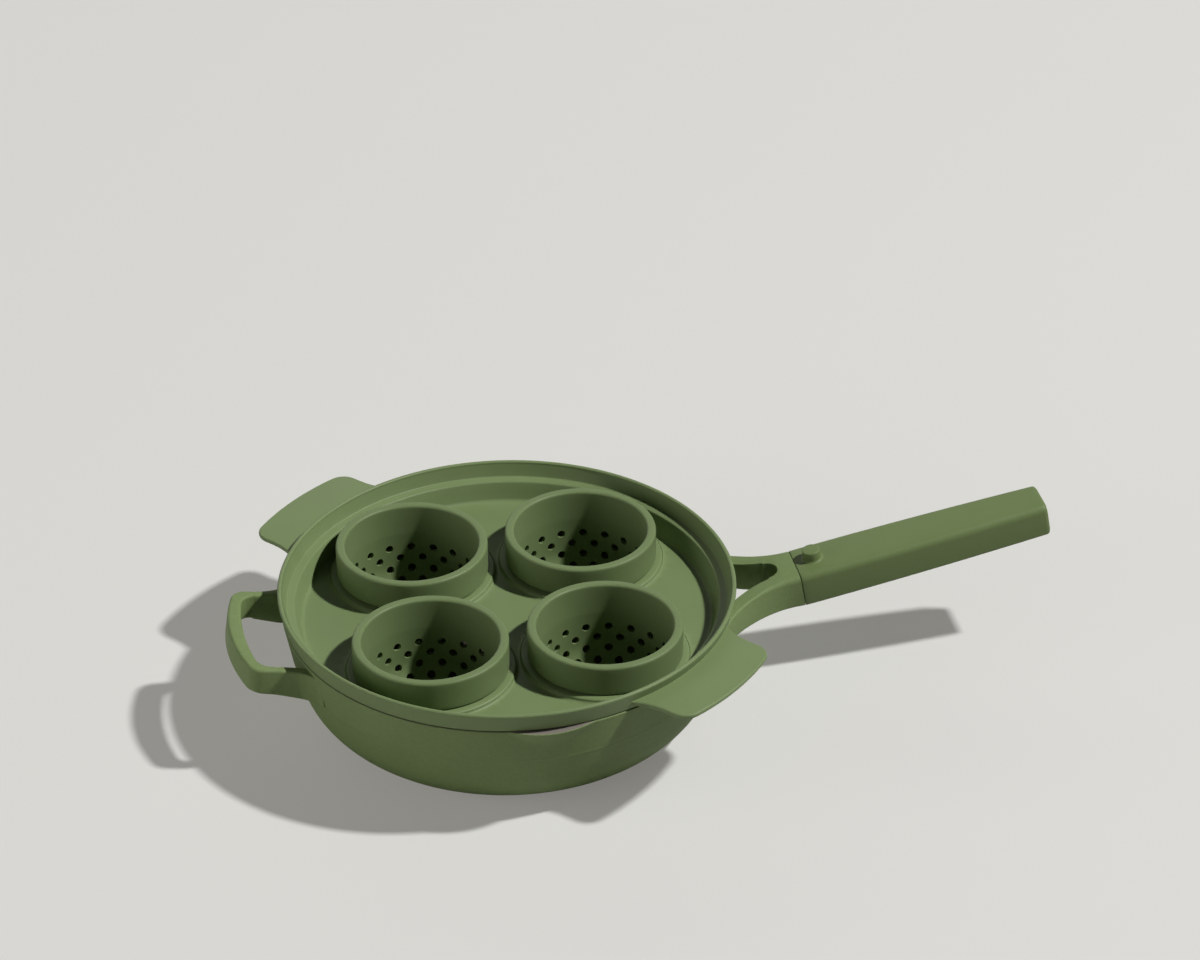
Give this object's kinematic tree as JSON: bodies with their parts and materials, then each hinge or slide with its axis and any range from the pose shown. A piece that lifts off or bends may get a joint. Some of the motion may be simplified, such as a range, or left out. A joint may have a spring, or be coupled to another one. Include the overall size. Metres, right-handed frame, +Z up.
{
  "type": "egg poacher pan",
  "caption": "Round saute pan with a forked long handle, a helper loop and pouring spouts, holding a lift-out poaching tray with perforated drop-in cups.",
  "frame": {"origin": "centre of the pan's base, on the surface that it stands on", "axes": "+X from the pan's axis along the long handle, +Z up"},
  "size_m": [0.4971, 0.2912, 0.0949],
  "materials": {
    "pan_coat": "cast aluminium under a sandy matte green coat outside and a warm grey nonstick coat inside",
    "base_steel": "brushed",
    "grip_resin": "soft matte",
    "fastener_steel": "satin",
    "tray_silicone": "smooth matte silicone",
    "cup_silicone": "smooth matte silicone"
  },
  "bodies": {
    "pan": {"pan_body": "pan_coat", "induction_plate": "base_steel", "handle_grip": "grip_resin", "grip_screw": "fastener_steel", "lock_washer": "fastener_steel"},
    "tray": {"poacher_tray": "tray_silicone"},
    "back_right_cup": {"cup_back_right": "cup_silicone"},
    "back_left_cup": {"cup_back_left": "cup_silicone"},
    "front_left_cup": {"cup_front_left": "cup_silicone"},
    "front_right_cup": {"cup_front_right": "cup_silicone"}
  },
  "joints": [
    {"name": "tray_lift", "type": "slide", "parent": "pan", "child": "tray", "axis": [0, 0, 1], "range_m": [0, 0.12]},
    {"name": "back_right_cup_lift", "type": "slide", "parent": "tray", "child": "back_right_cup", "axis": [0, 0, 1], "range_m": [0, 0.09]},
    {"name": "back_left_cup_lift", "type": "slide", "parent": "tray", "child": "back_left_cup", "axis": [0, 0, 1], "range_m": [0, 0.09]},
    {"name": "front_left_cup_lift", "type": "slide", "parent": "tray", "child": "front_left_cup", "axis": [0, 0, 1], "range_m": [0, 0.09]},
    {"name": "front_right_cup_lift", "type": "slide", "parent": "tray", "child": "front_right_cup", "axis": [0, 0, 1], "range_m": [0, 0.09]}
  ]
}
